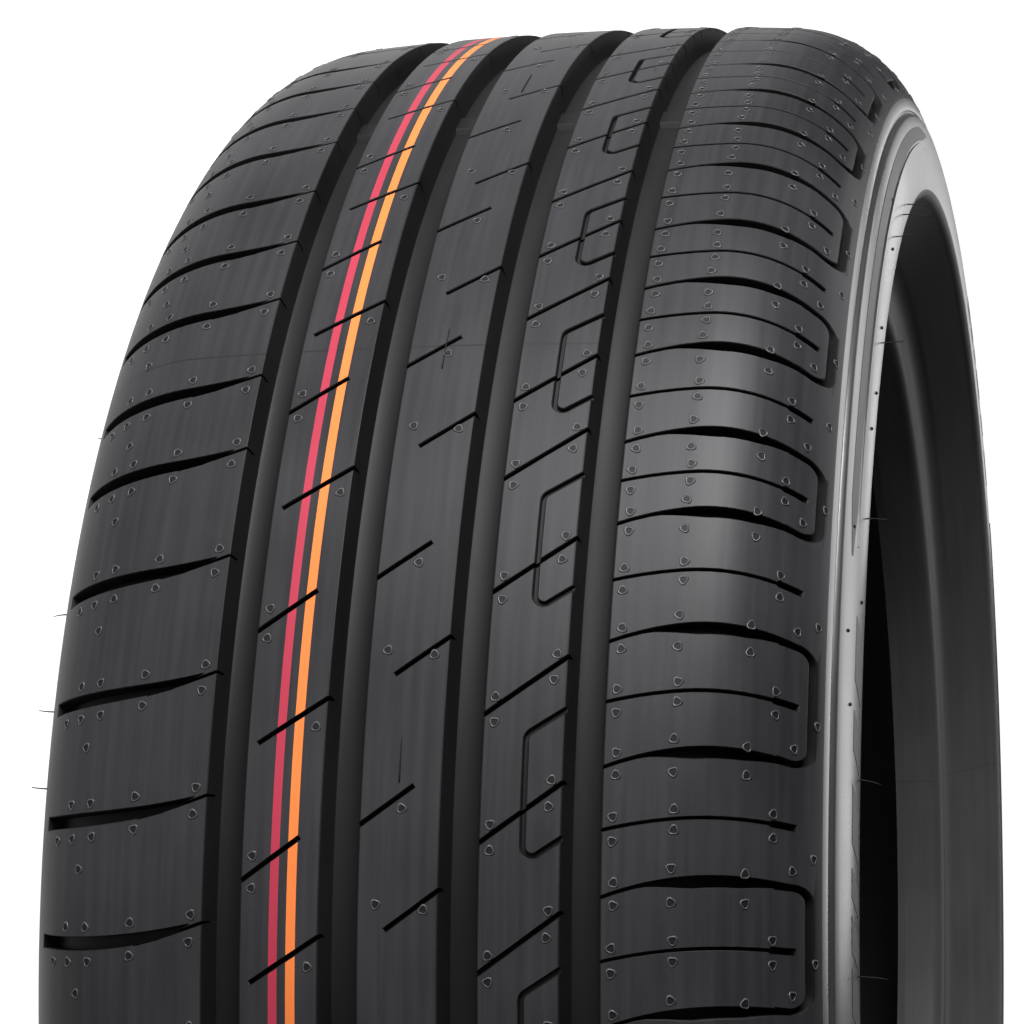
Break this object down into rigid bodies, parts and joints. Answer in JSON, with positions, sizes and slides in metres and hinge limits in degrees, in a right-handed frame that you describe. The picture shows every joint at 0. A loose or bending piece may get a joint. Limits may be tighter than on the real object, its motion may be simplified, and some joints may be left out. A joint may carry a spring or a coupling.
{
  "type": "car tyre",
  "caption": "Radial car tyre with round tread grooves, slanted sipes, looped shoulder grooves, smooth sidewalls and two stiff beads that seat on a wheel rim.",
  "frame": {"origin": "centre of the wheel: on the axis, midway between the sidewalls", "axes": "+Z along the wheel's axis towards the sidewall beside the looped shoulder grooves, X and Y across the tyre; in the picture -X is the side of the tread that faces the camera and +Y points up"},
  "size_m": [0.634, 0.634, 0.2332],
  "materials": {
    "tyre": "satin"
  },
  "bodies": {
    "root": {"tyre": "tyre"}
  },
  "joints": []
}
